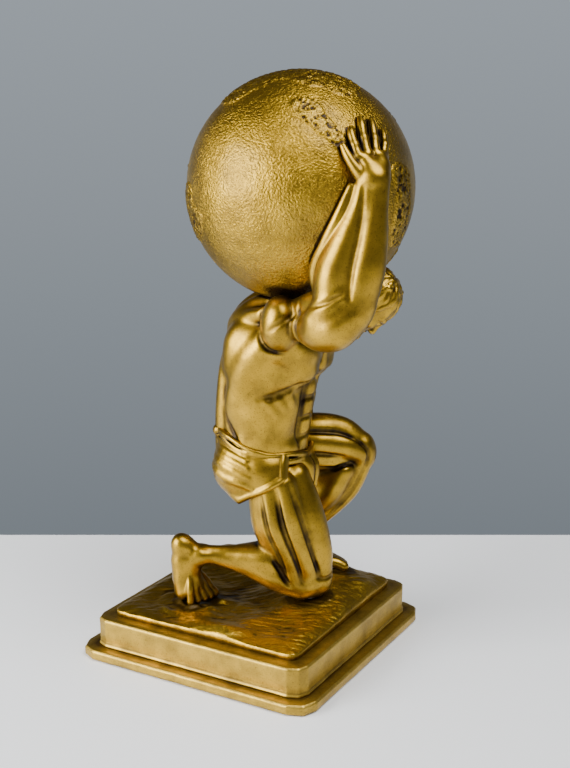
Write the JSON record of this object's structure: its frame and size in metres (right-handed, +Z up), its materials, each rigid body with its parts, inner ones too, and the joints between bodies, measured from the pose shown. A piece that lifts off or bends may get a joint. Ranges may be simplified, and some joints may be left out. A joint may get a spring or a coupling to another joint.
{
  "type": "figure trophy",
  "caption": "Free-standing award: a kneeling, muscular man in a wrapped loincloth carries a large globe on his shoulders, on a stepped square base.",
  "frame": {"origin": "centre of the base's underside, on the surface it stands on", "axes": "+Z up; +X and +Y along the sides of the square base; the figure faces 25 degrees from +X towards +Y"},
  "size_m": [0.1311, 0.1378, 0.2597],
  "materials": {
    "figure_gold": "cast resin in satin antique-gold paint, brown wash left in the recesses",
    "globe_gold": "cast resin in satin antique-gold paint over an orange-peel skin, raised crinkled land",
    "plinth_gold": "cast resin in satin antique-gold paint, faint speckle",
    "ground_gold": "cast resin in antique-gold paint with a heavy dark brown wash",
    "steel": "plain drawn steel",
    "felt": "dark pressed felt"
  },
  "bodies": {
    "root": {"felt_pad": "felt", "plinth_foot": "plinth_gold", "plinth_screws": "steel", "plinth_block": "plinth_gold", "terrain": "ground_gold", "leg_studs": "steel", "stud_washers": "steel", "stud_nuts": "steel", "right_shin": "figure_gold", "right_thigh": "figure_gold", "left_shin": "figure_gold", "left_thigh": "figure_gold", "loincloth": "figure_gold", "torso": "figure_gold", "head": "figure_gold", "right_upper_arm": "figure_gold", "right_forearm": "figure_gold", "left_upper_arm": "figure_gold", "left_forearm": "figure_gold", "globe": "globe_gold", "knee_pins": "steel", "hip_pins": "steel", "waist_pin": "steel", "shoulder_pins": "steel", "elbow_pins": "steel", "neck_pin": "steel", "globe_peg": "steel"}
  },
  "joints": []
}
